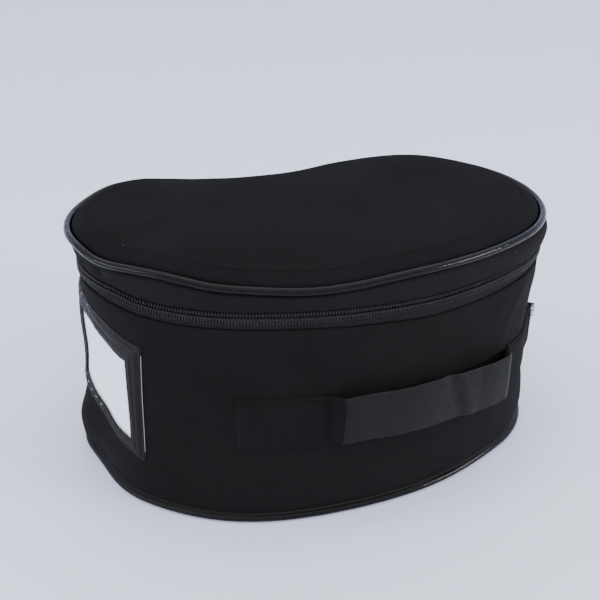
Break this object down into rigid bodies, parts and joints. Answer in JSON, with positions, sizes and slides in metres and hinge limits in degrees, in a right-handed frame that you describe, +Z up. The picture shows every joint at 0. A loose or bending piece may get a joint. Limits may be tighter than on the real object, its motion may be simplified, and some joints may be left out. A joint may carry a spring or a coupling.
{
  "type": "cap carrier",
  "caption": "Black kidney-shaped semi-soft zipped carrying case for a cap, with piped edges, a webbing handle on the front and a card holder on one end.",
  "frame": {"origin": "middle of the footprint, on the surface that the case stands on", "axes": "+Z up; +X along the case, from the card holder's end to the plain end; +Y from the bulged front to the hollowed back"},
  "size_m": [0.3072, 0.1968, 0.1659],
  "materials": {
    "black_cloth": "matte foam-backed polyester cloth",
    "black_vinyl": "glossy smooth vinyl",
    "black_webbing": "twill-woven webbing with a slight sheen",
    "black_zip": "nylon coil and woven tape",
    "clear_film": "clear soft film",
    "white_card": "white ruled card"
  },
  "bodies": {
    "root": {"base_panel": "black_cloth", "base_piping": "black_vinyl", "body_wall": "black_cloth", "zip_tape_lower": "black_zip", "zip_tape_upper": "black_zip", "zip_coil": "black_zip", "zip_slider": "black_zip", "back_hinge": "black_cloth", "lid_band": "black_cloth", "lid_piping": "black_vinyl", "lid_panel": "black_cloth", "handle_strap": "black_webbing", "handle_patch_left": "black_cloth", "handle_patch_right": "black_cloth", "label_frame": "black_vinyl", "label_window": "clear_film", "label_card": "white_card"}
  },
  "joints": []
}
